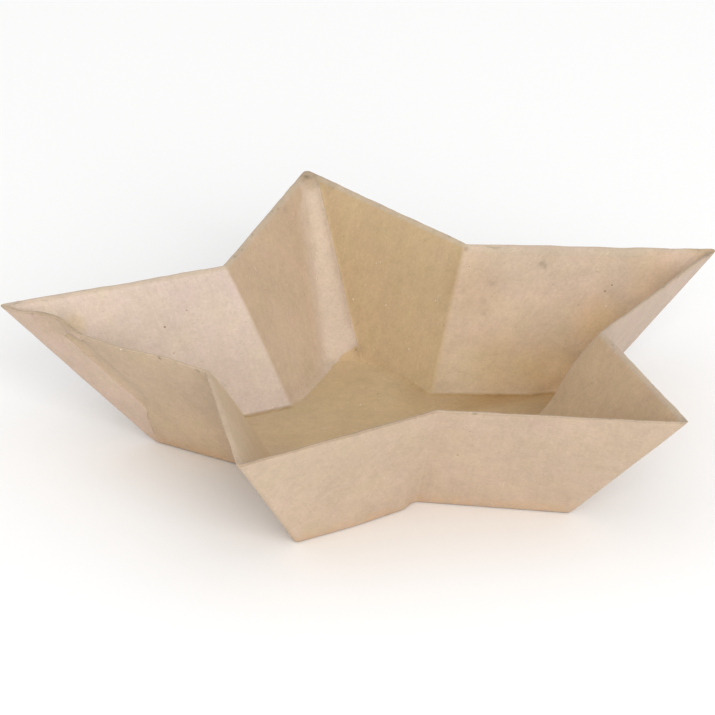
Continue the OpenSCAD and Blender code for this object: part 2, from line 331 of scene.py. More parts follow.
def section_points():
    """The wall's section: from the middle of the underside, up the outside and down to the floor's middle.

    Each row is inset and height in mm, the rounding at tips, back point and notches, how far its ring is
    drawn in to the middle (pull), and whether it is inside (side)."""
    rows = []

    def add(inset, z, tip_r, notch_r, back_r=None, pull=0.0, side=0.0):
        back_r = tip_r if back_r is None else back_r
        rows.append((inset, z, max(tip_r, SHARPEST), max(back_r, SHARPEST), notch_r, pull, side))

    def web(z):
        return mix(WEB_FLOOR_R, WEB_RIM_R, z / RIM_H)

    def back_web(z):
        return mix(BACK_WEB_FLOOR_R, BACK_WEB_RIM_R, z / RIM_H)

    def run(z):
        share = max(0, (z / RIM_H - THIN_FROM) / (1 - THIN_FROM))
        return mix(WALL_RUN, RIM_RUN, share * share)

    under_steps, foot_steps, rim_steps, fillet_steps, floor_steps = 9, 5, 4, 7, 22
    for k in range(under_steps):
        pull = 1 - k / under_steps
        add(FOOT_ROUND, 0, TIP_ROUND - FOOT_ROUND, VALLEY_ROUND + FOOT_ROUND, pull=pull)
    for k in range(foot_steps + 1):
        turn = math.pi / 2 * k / foot_steps
        inset = FOOT_ROUND * (1 - math.sin(turn))
        add(inset, FOOT_ROUND * (1 - math.cos(turn)), TIP_ROUND - inset, VALLEY_ROUND + inset)
    outer_steps = 26
    for k in range(1, outer_steps):
        add(0, mix(FOOT_ROUND, RIM_H - RIM_OUTER_ROUND, k / outer_steps), TIP_ROUND, VALLEY_ROUND)
    for k in range(rim_steps + 1):
        turn = math.pi / 2 * k / rim_steps
        inset = RIM_OUTER_ROUND * (1 - math.cos(turn))
        share = inset / RIM_RUN
        add(inset, RIM_H - RIM_OUTER_ROUND * (1 - math.sin(turn)),
            mix(TIP_ROUND, WEB_RIM_R, share), mix(VALLEY_ROUND, RIDGE_ROUND, share),
            back_r=mix(TIP_ROUND, BACK_WEB_RIM_R, share), side=share)
    inner_rim_steps = 7
    for k in range(1, inner_rim_steps + 1):
        turn = math.pi / 2 * k / inner_rim_steps
        z = RIM_H - RIM_INNER_ROUND * (1 - math.cos(turn))
        inset = mix(RIM_OUTER_ROUND, run(z), math.sin(turn))
        share = inset / run(z)
        add(inset, z, mix(TIP_ROUND, web(z), share), mix(VALLEY_ROUND, RIDGE_ROUND, share),
            back_r=mix(TIP_ROUND, back_web(z), share), side=share)
    hem_top = RIM_H - RIM_INNER_ROUND
    hem_foot = RIM_H - HEM_DEPTH
    for z in (mix(hem_top, hem_foot, 0.5), hem_foot, hem_foot - HEM_EDGE):
        add(run(z), z, web(z), RIDGE_ROUND, back_r=back_web(z), side=1)
    inner_steps = 24
    for k in range(1, inner_steps):
        z = mix(hem_foot - HEM_EDGE, LEVEL_H, k / inner_steps)
        add(run(z), z, web(z), RIDGE_ROUND, back_r=back_web(z), side=1)
    for k in range(fillet_steps + 1):
        turn = math.pi / 2 * k / fillet_steps
        inset = FLOOR_ROUND * (1 - math.cos(turn))
        add(WALL_RUN + inset, FLOOR_T + FLOOR_ROUND * (1 - math.sin(turn)),
            WEB_FLOOR_R - inset, RIDGE_ROUND + inset, back_r=BACK_WEB_FLOOR_R - inset, side=1)
    inset = WALL_RUN + FLOOR_ROUND
    for k in range(1, floor_steps + 1):
        add(inset, FLOOR_T, WEB_FLOOR_R - FLOOR_ROUND, RIDGE_ROUND + FLOOR_ROUND,
            back_r=BACK_WEB_FLOOR_R - FLOOR_ROUND, pull=k / floor_steps, side=1)
    names = ("tip_r", "back_r", "notch_r", "pull", "side")
    floats = [(name, [row[2 + n] for row in rows]) for n, name in enumerate(names)]
    return point_cloud("section", [(row[0], 0, row[1]) for row in rows], floats=floats)


def feed(tree, socket, value):
    """Links a field to a socket, or sets a plain value on it."""
    if isinstance(value, Field):
        tree.links.new(value.socket, socket)
    else:
        socket.default_value = value


class Field:
    """A value that varies over a piece. Arithmetic on it adds the nodes that work it out."""

    def __init__(self, tree, socket):
        self.tree, self.socket = tree, socket

    def node(self, kind, values=None, output=0, **settings):
        """Adds a node beside this field, sets or links its inputs, and hands back one output."""
        made = self.tree.nodes.new(kind)
        for name, setting in settings.items():
            setattr(made, name, setting)
        for slot, value in (values or {}).items():
            feed(self.tree, made.inputs[slot], value)
        return Field(self.tree, made.outputs[output])

    def math(self, operation, *others):
        values = dict(enumerate((self,) + others))
        return self.node("ShaderNodeMath", values, operation=operation)

    def vector_math(self, operation, *others, output=0):
        values = dict(enumerate((self,) + others))
        return self.node("ShaderNodeVectorMath", values, output=output, operation=operation)

    def is_vector(self):
        return self.socket.type in ("VECTOR", "RGBA")

    def scaled(self, factor):
        return self.node("ShaderNodeVectorMath", {0: self, "Scale": factor}, operation="SCALE")

    def __add__(self, other):
        return self.vector_math("ADD", other) if self.is_vector() else self.math("ADD", other)

    def __sub__(self, other):
        return self.vector_math("SUBTRACT", other) if self.is_vector() else self.math("SUBTRACT", other)

    def __rsub__(self, other):
        return self * -1 + other

    def __mul__(self, other):
        if isinstance(other, Field) and other.is_vector():
            return other.scaled(self)
        return self.scaled(other) if self.is_vector() else self.math("MULTIPLY", other)

    def __truediv__(self, other):
        return self.math("DIVIDE", other)

    def __rtruediv__(self, other):
        return self.math("POWER", -1.0) * other

    __radd__ = __add__
    __rmul__ = __mul__

    def unit(self):
        return self.vector_math("NORMALIZE")

    def length(self):
        return self.vector_math("LENGTH", output=1)

    def dot(self, other):
        return self.vector_math("DOT_PRODUCT", other, output=1)

    def part(self, axis):
        return self.node("ShaderNodeSeparateXYZ", {0: self}, output="XYZ".index(axis))

    def quarter_turn(self):
        """The vector turned a quarter anticlockwise in plan."""
        return join(self.part("Y") * -1, self.part("X"), 0.0)

    def ramp(self, low, high, soft=False):
        """0 below low, 1 above high, even or soft between them."""
        kind = "SMOOTHSTEP" if soft else "LINEAR"
        values = {"Value": self, "From Min": low, "From Max": high}
        return self.node("ShaderNodeMapRange", values, interpolation_type=kind)


def join(x, y, z):
    """A vector from three parts, of which the first is a field."""
    return x.node("ShaderNodeCombineXYZ", {0: x, 1: y, 2: z})


def noise(at, size, detail=2.0, roughness=0.5):
    """Cloudy noise about 0.5 whose clouds are about size across."""
    values = {"Vector": at, "Scale": 1 / size, "Detail": detail, "Roughness": roughness}
    return at.node("ShaderNodeTexNoise", values)


def named_inputs(tree, sockets):
    """Gives a node tree its named inputs. Hands back their sockets, and the fields that come in by them."""
    inputs = {}
    for label, kind, value in sockets:
        inputs[label] = tree.interface.new_socket(label, in_out="INPUT", socket_type=kind)
        if value is not None:
            inputs[label].default_value = value
    entry = tree.nodes.new("NodeGroupInput")
    return inputs, {label: Field(tree, entry.outputs[label]) for label in inputs}


# Columns of the grid on each wall: in all, round its first corner, and on the strip at either end
COLUMNS = 74
ARC_COLUMNS = 12
STRIP_COLUMNS = 16


def shell_tree():
    """The node tree that carries the section round the plan."""
    tree = bpy.data.node_groups.new("star_shell", "GeometryNodeTree")
    tree.interface.new_socket("Shell", in_out="OUTPUT", socket_type="NodeSocketGeometry")
    inputs, given = named_inputs(tree, (
        ("Plan", "NodeSocketObject", None),
        ("Section", "NodeSocketObject", None),
        ("Rim height", "NodeSocketFloat", RIM_H),
        ("Level height", "NodeSocketFloat", LEVEL_H),
        ("Strip edge", "NodeSocketFloat", 0.35),
        ("Strip wander", "NodeSocketFloat", 2.2),
        ("Lap rise", "NodeSocketFloat", 2.5),
        ("Lap sag", "NodeSocketFloat", 1.6),
        ("Hem depth", "NodeSocketFloat", HEM_DEPTH),
        ("Rim wander", "NodeSocketFloat", 1.1),
        ("Wave", "NodeSocketFloat", 0.7),
        ("Wave size", "NodeSocketFloat", 34.0),
        ("Lump", "NodeSocketFloat", 0.22),
        ("Lump size", "NodeSocketFloat", 7.0),
        ("Floor tone", "NodeSocketVector", FLOOR_TONE),
        ("Paper", "NodeSocketMaterial", None),
    ))
    outlet = tree.nodes.new("NodeGroupOutput")
    place_node = given["Rim height"].node

    # A grid with its columns along the walls and a row for each point of the section
    plan = place_node("GeometryNodeObjectInfo", {"Object": given["Plan"]}, output="Geometry")
    section = place_node("GeometryNodeObjectInfo", {"Object": given["Section"]}, output="Geometry")
    row_count = place_node(
        "GeometryNodeAttributeDomainSize", {0: section}, output="Point Count", component="MESH",
    )
    values = {"Vertices X": CORNERS * COLUMNS + 1, "Vertices Y": row_count}
    grid = place_node("GeometryNodeMeshGrid", values)
    number = place_node("GeometryNodeInputIndex")
    column = (number / row_count).math("FLOOR")
    row = number.math("MODULO", row_count)
    # The wall that a column stands on, and its number on that wall
    wall = ((column + 0.5) / COLUMNS).math("FLOOR")
    step = column - wall * COLUMNS

    def read(geometry, label, index, kind="FLOAT"):
        if label == "position":
            value = place_node("GeometryNodeInputPosition")
        else:
            value = place_node("GeometryNodeInputNamedAttribute", {"Name": label}, data_type=kind)
        return place_node(
            "GeometryNodeSampleIndex", {"Geometry": geometry, "Value": value, "Index": index},
            data_type=kind, domain="POINT",
        )

    profile = read(section, "position", row, "FLOAT_VECTOR")
    inset, z = profile.part("X"), profile.part("Z")
    tip_r, back_r, notch_r = (read(section, label, row) for label in ("tip_r", "back_r", "notch_r"))
    pull, side = read(section, "pull", row), read(section, "side", row)
    rise = z / given["Rim height"]

    def corner_number(offset):
        return (wall + (CORNERS + offset)).math("MODULO", CORNERS)

    def corner(offset):
        at = corner_number(offset)
        foot = read(plan, "position", at, "FLOAT_VECTOR")
        rim = read(plan, "rim", at, "FLOAT_VECTOR")
        flat_rim = join(rim.part("X"), rim.part("Y"), 0.0)
        return mix(foot, flat_rim, rise), rim.part("Z")

    (before, _), (here, here_up) = corner(-1), corner(0)
    (ahead, ahead_up), (beyond, _) = corner(1), corner(2)
    way_in, way, way_on = (here - before).unit(), (ahead - here).unit(), (beyond - ahead).unit()
    wall_length = (ahead - here).length()
    is_tip = read(plan, "tip", corner_number(0))

    def rounding(offset, tip):
        at_back = corner_number(offset).math("COMPARE", 0.0, 0.5)
        ridge = notch_r * mix(1.0, read(plan, "softer", corner_number(offset)), side)
        return mix(ridge * -1, mix(tip_r, back_r, at_back), tip)

    radius = rounding(0, is_tip)
    next_radius = rounding(1, 1.0 - is_tip)

    def half_turn(first, second):
        """Tangent of half the angle between two walls, and the angle."""
        sine = first.quarter_turn().dot(second)
        cosine = first.dot(second)
        return sine / (cosine + 1.0), sine.math("ARCTAN2", cosine)

    # Where the straight of the wall starts and stops, and the middle of the corner's rounding
    half, turn = half_turn(way_in, way)
    next_half, _ = half_turn(way, way_on)
    start = (inset + radius) * half
    stop = wall_length - (inset + next_radius) * next_half
    side_in, side_on = way_in.quarter_turn(), way.quarter_turn()
    miter = (side_in + side_on).scaled((side_in.dot(side_on) + 1.0).math("POWER", -1.0))
    centre = here + miter * (inset + radius)
    arc = step.ramp(0.0, float(ARC_COLUMNS))
    share = (step - ARC_COLUMNS) / (COLUMNS - ARC_COLUMNS)
    angle = turn * arc
    face = side_in * angle.math("COSINE") - way_in * angle.math("SINE")

    # Where the strips at either end of this wall stop, and how the grid's columns are shared out along it
    def width(before_or_after, offset):
        at = corner_number(offset)
        outer = read(plan, "outer_" + before_or_after, at, "FLOAT_VECTOR")
        inner = read(plan, "inner_" + before_or_after, at, "FLOAT_VECTOR")
        three = mix(outer, inner, side)
        wall_width_from = 0.33 - side * 0.08
        low = mix(three.part("X"), three.part("Y"), rise.ramp(0.04, wall_width_from))
        return mix(low, three.part("Z"), rise.ramp(0.84, 0.95, soft=True))

    wander = (noise(join(z, wall * 7.0, side * 31.0), 9.0, detail=3.0) - 0.5) * given["Strip wander"]
    strip_end = (width("after", 0) + wander).math("MAXIMUM", start + 1.0)
    strip_back = wall_length - (width("before", 1) + wander)
    strip_back = strip_back.math("MINIMUM", stop - 1.0)
    one = 1 / (COLUMNS - ARC_COLUMNS)
    first = STRIP_COLUMNS * one
    last = 1 - first
    edge = given["Strip edge"]
    along = (
        start
        + (strip_end - start) * share.ramp(0.0, first)
        + edge * share.ramp(first, first + one)
        + (strip_back - strip_end - edge * 2.0) * share.ramp(first + one, last - one)
        + edge * share.ramp(last - one, last)
        + (stop - strip_back) * share.ramp(last, 1.0)
    )
    on_first = 1.0 - share.ramp(first, first + one)
    on_last = share.ramp(last - one, last)
    strip_here = mix(
        read(plan, "before_t", corner_number(0), "FLOAT_VECTOR"),
        read(plan, "after_t", corner_number(0), "FLOAT_VECTOR"),
        arc,
    )
    strip_ahead = read(plan, "before_t", corner_number(1), "FLOAT_VECTOR")
    hem_foot = given["Rim height"] - given["Hem depth"]
    turned_over = z.ramp(hem_foot - HEM_EDGE, hem_foot)

    def strip_push(thickness):
        inner = mix(thickness.part("Z"), thickness.part("Y"), turned_over)
        return mix(thickness.part("X"), inner * -1, side)

    push = strip_push(strip_here) * on_first + strip_push(strip_ahead) * on_last
    strip_cover = push.math("ABSOLUTE").ramp(0.0, 0.1)
    hem = read(plan, "hem", corner_number(0))
    hem_from = read(plan, "hem_from", corner_number(0))
    hemmed = (along - hem_from).ramp(0.0, 0.6) * turned_over * side
    push = push - hem * hemmed
    on_wall = 1.0 - pull.ramp(0.0, 0.02)
    push = push * on_wall * z.ramp(FOOT_ROUND, FOOT_ROUND + 2.0)
    # The bulges at the foot
    from_notch = mix(along - start, stop - along, is_tip)
    from_tip = mix(stop - along, along - start, is_tip)
    low = 1.0 - rise.ramp(0.03, 0.45, soft=True)
    bulge_in = from_notch.ramp(0.0, 35.0, soft=True) * from_tip.ramp(0.0, 12.0, soft=True) * low * side
    bulge_out = from_notch.ramp(1.0, 8.0, soft=True) * (1.0 - from_notch.ramp(24.0, 58.0, soft=True)) * low
    push = push - read(plan, "foot_in", corner_number(0)) * bulge_in
    push = push + read(plan, "foot_out", corner_number(0)) * bulge_out * (1.0 - side)

    flat = centre - face * (radius + push) + way * (along - start)

    # The rim's hand-made ups and downs, with the fold of the lap beside the left point
    tilt = mix(here_up, ahead_up, along / wall_length)
    on_lap_wall = wall.math("COMPARE", LAP_WALL, 0.5)

    def hump(height, begins, ends):
        return height * along.ramp(*begins, soft=True) * (1.0 - along.ramp(*ends, soft=True))

    fold = (hump(given["Lap rise"], *LAP_RISES) - hump(given["Lap sag"], *LAP_SAGS)) * on_lap_wall
    walls_own = z.ramp(given["Level height"], given["Rim height"])
    torn = (noise(flat + (0.0, 0.0, 40.0), 11.0, detail=3.0, roughness=0.6) - 0.5) * given["Rim wander"]
    lifted = z + (tilt + fold) * walls_own + torn * rise.ramp(0.7, 1.0)
    drawn = flat.scaled(1.0 - pull)
    position = join(drawn.part("X"), drawn.part("Y"), lifted)

    grid_set = place_node("GeometryNodeSetPosition", {"Geometry": grid, "Position": position.scaled(MM)})

    def store(geometry, label, value, kind="FLOAT"):
        return place_node(
            "GeometryNodeStoreNamedAttribute", {"Geometry": geometry, "Name": label, "Value": value},
            data_type=kind, domain="POINT",
        )

    # What the paper's finish needs to know: its tone, and how far each place is from the edges and creases
    def tone(label):
        previous = read(plan, label, corner_number(-1), "FLOAT_VECTOR")
        return mix(previous, read(plan, label, corner_number(0), "FLOAT_VECTOR"), arc)

    def strip_tone(base, label, offset, cover):
        own = read(plan, label, corner_number(offset), "FLOAT_VECTOR")
        return mix(base, own, cover * own.part("X").ramp(0.0, 0.01))

    fading = 1.0 - share.ramp(0.0, first, soft=True)
    outside_tone = strip_tone(tone("outer_tone"), "outer_strip_tone", 0, on_first)
    outside_tone = strip_tone(outside_tone, "outer_strip_tone", 1, on_last)
    # Inside, the tone goes from the tone near the floor to the tone near the rim, both with painted light
    # and painted shade in them
    inside_tone = mix(tone("inner_low_tone"), tone("inner_tone"), rise.ramp(0.2, 0.85))
    inside_tone = strip_tone(inside_tone, "inner_strip_tone", 0, on_first * fading)
    inside_tone = strip_tone(inside_tone, "inner_strip_tone", 1, on_last)
    inside_tone = mix(inside_tone, tone("rim_tone"), hemmed * hem.ramp(0.1, 0.15))
    # How dark the painted shade in each wall's crease with the floor is
    crease = mix(read(plan, "crease", corner_number(-1)), read(plan, "crease", corner_number(0)), arc)
    to_notch = along.ramp(start, stop)
    at_tip = mix(read(plan, "out_before", corner_number(0)), read(plan, "out_after", corner_number(0)), arc)
    at_next_tip = read(plan, "out_before", corner_number(1))
    on_floor = mix(at_tip * (1.0 - to_notch), at_next_tip * to_notch, 1.0 - is_tip)
    # The floor's tone beside each wall, shared with the walls beside it; beside the right point's back wall
    # it is painted shade
    edge_floor = read(plan, "floor_tone", corner_number(0), "FLOAT_VECTOR")
    for offset, away in ((-1, along - start), (1, stop - along)):
        beside = read(plan, "floor_tone", corner_number(offset), "FLOAT_VECTOR")
        edge_floor = mix(edge_floor, beside, 0.5 - away.ramp(0.0, 24.0, soft=True) * 0.5)
    floor_tone = mix(edge_floor, given["Floor tone"], pull.ramp(0.0, 0.7))
    shell = grid_set
    for label, value in (
        ("tone", mix(outside_tone, inside_tone, side.ramp(0.2, 0.6))),
        ("rim_tone", tone("rim_tone")),
        ("floor_tone", floor_tone),
    ):
        shell = store(shell, label, value, kind="FLOAT_VECTOR")
    for label, value in (
        ("inside", side),
        ("height", z),
        ("below_rim", given["Rim height"] - z),
        ("along", along + wall * 100.0),
        ("strip", strip_cover),
        ("crease", crease),
        ("paper_out", on_floor),
        ("past_crease", flat.length() * pull - (z - FLOOR_T)),
    ):
        shell = store(shell, label, value)
    shell = place_node("GeometryNodeMergeByDistance", {"Geometry": shell, "Distance": 0.001 * MM})

    # Hand-made unevenness: long waves and small lumps, none on the underside
    place = place_node("GeometryNodeInputPosition").scaled(1 / MM)
    normal = place_node("GeometryNodeInputNormal")
    waves = (noise(place, given["Wave size"], detail=1.0) - 0.5) * given["Wave"]
    lumps = (noise(place + (7.0, 3.0, 1.0), given["Lump size"]) - 0.5) * given["Lump"]
    free = place.part("Z").ramp(0.6, 4.0)
    shift = normal.scaled((waves + lumps) * free)
    for middle, reach, move in DENTS:
        share_moved = 1.0 - (place - middle).length().ramp(0.0, reach, soft=True)
        shift = shift + join(share_moved * move[0], share_moved * move[1], share_moved * move[2])
    shift = shift.scaled(MM)
    shell = place_node("GeometryNodeSetPosition", {"Geometry": shell, "Offset": shift})
    shell = place_node("GeometryNodeSetShadeSmooth", {"Geometry": shell, "Shade Smooth": True})
    shell = place_node("GeometryNodeRealizeInstances", {"Geometry": shell})
    shell = place_node("GeometryNodeSetMaterial", {"Geometry": shell, "Material": given["Paper"]})
    feed(tree, outlet.inputs["Shell"], shell)
    return tree, inputs


def made_mesh(name, tree, inputs, values):
    """Runs a node tree and keeps its result as a plain mesh object of that name."""
    holder = bpy.data.objects.new(name + "_holder", bpy.data.meshes.new(name + "_holder"))
    bpy.context.scene.collection.objects.link(holder)
    work = holder.modifiers.new("build", "NODES")
    work.node_group = tree
    for label, value in values.items():
        work[inputs[label].identifier] = value
    result = bpy.data.meshes.new_from_object(holder.evaluated_get(bpy.context.evaluated_depsgraph_get()))
    bpy.data.objects.remove(holder)
    result.name = name
    piece = bpy.data.objects.new(name, result)
    bpy.context.scene.collection.objects.link(piece)
    return piece


def paper_mottle_group():
    """The clouding of brown paper: pale and dark clouds, warm and olive drift and a fine grain."""
    tree = bpy.data.node_groups.new("paper_mottle", "ShaderNodeTree")
    _, given = named_inputs(tree, (
        ("At", "NodeSocketVector", (0, 0, 0)),
        ("Tone", "NodeSocketColor", (0.5, 0.4, 0.3, 1)),
        ("Cloud", "NodeSocketFloat", 0.1),
        ("Drift", "NodeSocketFloat", 0.1),
        ("Grain", "NodeSocketFloat", 0.1),
    ))
    tree.interface.new_socket("Color", in_out="OUTPUT", socket_type="NodeSocketColor")
    tree.interface.new_socket("Grain height", in_out="OUTPUT", socket_type="NodeSocketFloat")
    at = given["At"]
    broad = noise(at, 24.0, detail=2.0) - 0.5
    small = noise(at + (31.0, 5.0, 12.0), 4.2, detail=3.0, roughness=0.6) - 0.5
    grain = noise(at + (3.0, 50.0, 9.0), 1.1, detail=3.0, roughness=0.75) - 0.5
    hue = noise(at + (60.0, 8.0, 70.0), 9.0, detail=2.0) - 0.5
    shade = 1.0 + (broad + small) * given["Cloud"] + grain * given["Grain"]
    drift = hue * given["Drift"]
    tint = join(1.0 + drift * 0.4, 1.0 - drift * 0.25, 1.0 + drift)
    outlet = tree.nodes.new("NodeGroupOutput")
    feed(tree, outlet.inputs["Color"], given["Tone"].vector_math("MULTIPLY", tint).scaled(shade))
    feed(tree, outlet.inputs["Grain height"], grain)
    return tree


def stored(tree, label, output="Fac"):
    """A value that the shell's node tree left on the mesh."""
    made = tree.nodes.new("ShaderNodeAttribute")
    made.attribute_name = label
    return Field(tree, made.outputs[output])


FIBRE_LENGTH = 7
FIBRE_WIDTH = 0.55


def fibre_streaks(at, turn, seed):
    """Long thin fibres that all lie one way: 1 on a fibre, 0 between."""
    scale = (1 / FIBRE_LENGTH, 1 / FIBRE_WIDTH, 1 / FIBRE_WIDTH)
    values = {"Vector": at + (seed, seed * 2.3, 0.0), "Rotation": turn, "Scale": scale}
    lying = at.node("ShaderNodeMapping", values)
    return noise(lying, 1.0, detail=1.0).ramp(0.60, 0.78, soft=True)


def specks(at, apart, size, share):
    """Small round specks, of which only a share of the cells has one."""
    cell = at.node("ShaderNodeTexVoronoi", {"Vector": at, "Scale": 1 / apart})
    near = Field(cell.tree, cell.socket.node.outputs["Distance"]) * apart
    chance = Field(cell.tree, cell.socket.node.outputs["Color"])
    reach = chance.part("Y") * size + size * 0.5
    spot = 1.0 - (near / reach).ramp(0.5, 1.0, soft=True)
    return spot * chance.part("X").math("LESS_THAN", share)


BLOTS_APART = 34.0
# Soft stains: place in mm, radius in mm and how dark
STAINS = [
    ((-12.3, 105.6, 46.9), 2.6, 0.20), ((68.3, 48.0, 41.4), 2.2, 0.22), ((66.9, 48.2, 42.2), 1.3, 0.14),
    ((49.3, 48.8, 36.1), 2.0, 0.12), ((45.2, 46.7, 31.2), 1.8, 0.12), ((45.4, 44.3, 27.2), 1.6, 0.10),
    ((7.4, 117.8, 48.6), 4.2, 0.12), ((68.1, 27.6, 6.5), 5.0, 0.10), ((0.4, 127.4, 49.5), 1.7, 0.34),
    ((42.0, 57.5, 46.6), 1.4, 0.32), ((-81.5, -9.3, 46.4), 1.0, 0.25), ((-70.8, -20.8, 45.6), 1.6, 0.30),
    ((-118.0, 30.1, 49.2), 1.2, 0.30), ((-111.0, 34.0, 48.6), 1.3, 0.22), ((60.0, 40.0, 15.0), 6.0, 0.06),
]

# Patches tinted into the paper's tone, most of them painted light and painted shade: place in mm, radius in
# mm, tint and whether it shows only inside
LIGHT_AND_SHADE_PATCHES = [
    ((43.0, 50.0, 36.0), 16.0, (0.87, 0.85, 0.80), True),
    ((55.0, 48.0, 42.5), 16.0, (0.85, 0.87, 0.87), True),
    ((74.0, 45.5, 43.0), 16.0, (0.85, 0.86, 0.86), True),
    ((92.0, 42.5, 43.0), 15.0, (0.87, 0.88, 0.87), True),
    ((36.0, 37.0, 8.0), 13.0, (1.08, 1.11, 1.12), True),
    ((85.0, 34.5, 22.0), 15.0, (1.12, 1.05, 0.90), True),
    ((99.4, 34.8, 31.0), 10.0, (1.15, 1.14, 1.10), True),
    ((106.0, 36.5, 38.0), 14.0, (0.99, 0.96, 0.88), True),
    ((50.0, 33.0, 9.0), 20.0, (0.99, 0.96, 0.86), True),
    ((68.0, 29.0, 8.0), 18.0, (1.10, 1.03, 0.89), True),
    ((69.5, 27.5, 7.0), 10.0, (1.20, 1.22, 1.26), True),
    ((124.0, 40.0, 49.0), 9.0, (0.86, 0.78, 0.66), False),
    ((0.6, 128.0, 50.0), 7.0, (0.84, 0.81, 0.76), False),
    ((1.3, 124.5, 48.0), 5.5, (0.82, 0.79, 0.74), True),
    ((-6.0, 74.0, 8.0), 20.0, (1.07, 1.07, 1.08), True),
    ((6.5, 71.5, 4.5), 5.0, (0.86, 0.85, 0.86), True),
    ((-62.0, 6.0, 12.0), 26.0, (1.15, 1.14, 1.09), False),
    ((-95.0, 43.0, 43.0), 18.0, (1.06, 1.05, 1.04), True),
    ((-114.0, 41.0, 46.0), 9.0, (1.16, 1.15, 1.14), True),
    ((-101.5, 39.0, 40.0), 6.0, (0.94, 0.91, 0.80), True),
    ((-111.0, 24.0, 50.0), 14.0, (0.89, 0.87, 0.82), False),
]


def kraft_paper_material():
    """Unbleached brown paper: clouded, fibrous and specked, dry at the edges, with painted shade in the
    creases and painted light and shade in patches.
    """
    paper = bpy.data.materials.new("kraft_paper")
    paper.use_nodes = True
    tree = paper.node_tree
    shader = tree.nodes["Principled BSDF"]
    at = Field(tree, tree.nodes.new("ShaderNodeTexCoord").outputs["Object"]).scaled(1 / MM)

    inside, height = stored(tree, "inside"), stored(tree, "height")
    below_rim, past_crease = stored(tree, "below_rim"), stored(tree, "past_crease")
    way_up = join(stored(tree, "along"), height * 0.07, inside * 9.0)
    cloudy = noise(at + (4.0, 4.0, 4.0), 3.0, detail=3.0)

    # Fibres pressed into the sheet, some pale and some dark, and the faint stripes of the paper's machine
    pale_fibres = fibre_streaks(at, (0.3, 0.5, 0.4), 0.0) + fibre_streaks(at, (1.2, -0.4, 1.9), 17.0)
    dark_fibres = fibre_streaks(at, (-0.6, 0.2, 2.7), 41.0)
    on_wall = 1.0 - past_crease.ramp(-2.0, 0.0)
    stripes = (noise(way_up, 1.3, detail=2.0) - 0.5) * on_wall
    shade = 1.0 + pale_fibres * 0.06 - dark_fibres * 0.06 + stripes * 0.10

    # Painted shade in the creases, a rubbed rim with darker marks, a foot gone brown on the table, a
    # painted shadow line at the foot's bottom edge and painted shadow lines along the strips' edges
    off_line = (past_crease + 0.45).math("ABSOLUTE") + (cloudy - 0.5) * 0.5
    painted_crease_shade = (1.0 - off_line.ramp(0.1, 0.6, soft=True)) * inside * stored(tree, "crease")
    rim_line = 1.0 - below_rim.ramp(0.5, 1.3, soft=True)
    marked = rim_line * noise(way_up + (0.0, 3.0, 0.0), 5.0, detail=2.0).ramp(0.64, 0.70)
    outside = 1.0 - inside.ramp(0.0, 0.3)
    foot = (1.0 - height.ramp(0.0, 7.0, soft=True)) * outside * cloudy.ramp(0.3, 0.6)
    # Painted shadow: a dark line along the bottom edge of the outside, where it meets the table
    foot_shadow_line = (1.0 - height.ramp(0.0, 0.9)) * outside
    strip = stored(tree, "strip")
    # Painted shadow: dark lines, in places, along the edges of the pasted strips
    strip_edge_shadow = strip * (1.0 - strip) * on_wall * noise(way_up, 6.0, detail=2.0).ramp(0.45, 0.6)
    shade = shade - strip_edge_shadow * 0.9 - painted_crease_shade * 0.34 - marked * 0.22 - foot_shadow_line * 0.13

    for place, radius, dark in STAINS:
        near = (at - place).length() + (cloudy - 0.5) * radius * 1.4
        shade = shade - (1.0 - near.ramp(0.0, radius, soft=True)) * dark
    rare = at.node("ShaderNodeTexVoronoi", {"Vector": at + (9.0, 2.0, 5.0), "Scale": 1 / BLOTS_APART})
    blot = (1.0 - (rare * BLOTS_APART).ramp(0.5, 4.0, soft=True)) * cloudy.ramp(0.35, 0.6)
    dark_specks = specks(at, 2.6, 0.24, 0.12) + specks(at + (7.0, 1.0, 3.0), 1.7, 0.13, 0.18)
    pale_specks = specks(at + (2.0, 9.0, 4.0), 3.1, 0.22, 0.09)
    shade = shade - blot * 0.06 - dark_specks * 0.30 + pale_specks * 0.20

    # The floor's own paper starts where the walls' paper ends
    edge = past_crease - stored(tree, "paper_out") + 0.45 + (cloudy - 0.5) * 0.7
    tone = stored(tree, "tone", "Vector")
    tone = mix(tone, stored(tree, "floor_tone", "Vector"), edge.ramp(-0.2, 0.2) * inside)
    # Painted shade dims the rim's highlight on the front walls, and painted light brightens the rim on the
    # back walls
    tone = mix(tone, stored(tree, "rim_tone", "Vector"), rim_line * 0.85)
    # Painted light and painted shade in patches, tinting the paper's tone
    for place, radius, tint, only_inside in LIGHT_AND_SHADE_PATCHES:
        near = (at - place).length() + (cloudy - 0.5) * radius * 0.3
        cover = 1.0 - near.ramp(radius * 0.2, radius, soft=True)
        cover = cover * inside if only_inside else cover
        red, green, blue = (1.0 + cover * (part - 1.0) for part in tint)
        tone = tone.vector_math("MULTIPLY", join(red, green, blue))

    values = {"At": at, "Tone": tone, "Cloud": 0.24, "Drift": 0.12, "Grain": 0.34}
    mottled = at.node("ShaderNodeGroup", values, output="Color", node_tree=mottle)
    grain = Field(tree, mottled.socket.node.outputs["Grain height"])
    # The foot warmer outside, and the painted crease shade yellower as well as darker
    green, blue = 1.0 - foot * 0.04 - painted_crease_shade * 0.08, 1.0 - foot * 0.16 - painted_crease_shade * 0.28
    warm = join(1.0 + foot * 0.06, green, blue)
    feed(tree, shader.inputs["Base Color"], mottled.vector_math("MULTIPLY", warm).scaled(shade))

